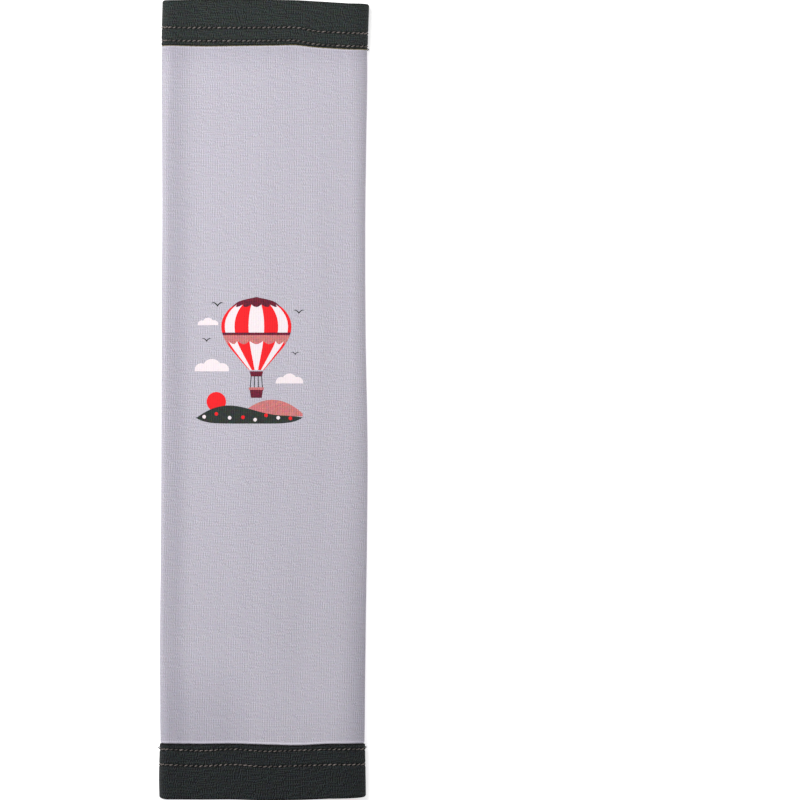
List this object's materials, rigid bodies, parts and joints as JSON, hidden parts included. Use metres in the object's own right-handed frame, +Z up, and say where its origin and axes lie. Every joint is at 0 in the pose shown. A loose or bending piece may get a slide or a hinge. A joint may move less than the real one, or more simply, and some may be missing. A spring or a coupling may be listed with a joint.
{
  "type": "knit arm sleeve",
  "caption": "Pull-on knit sleeve for the forearm, lying flat: a pale tube of jersey with a dark folded and cover-stitched knit cuff at each end.",
  "frame": {"origin": "centre of the bounding box, on the surface that the sleeve lies on", "axes": "+Y along the sleeve towards the upper arm end, +X to the right when the front is seen from above, +Z up out of the front"},
  "size_m": [0.0863, 0.3299, 0.0115],
  "materials": {
    "lavender_knit": "matte single jersey, pale lavender grey",
    "dark_green_knit": "matte fine knit, dark green grey"
  },
  "bodies": {
    "root": {"sleeve_body": "lavender_knit", "upper_cuff": "dark_green_knit", "lower_cuff": "dark_green_knit"}
  },
  "joints": []
}
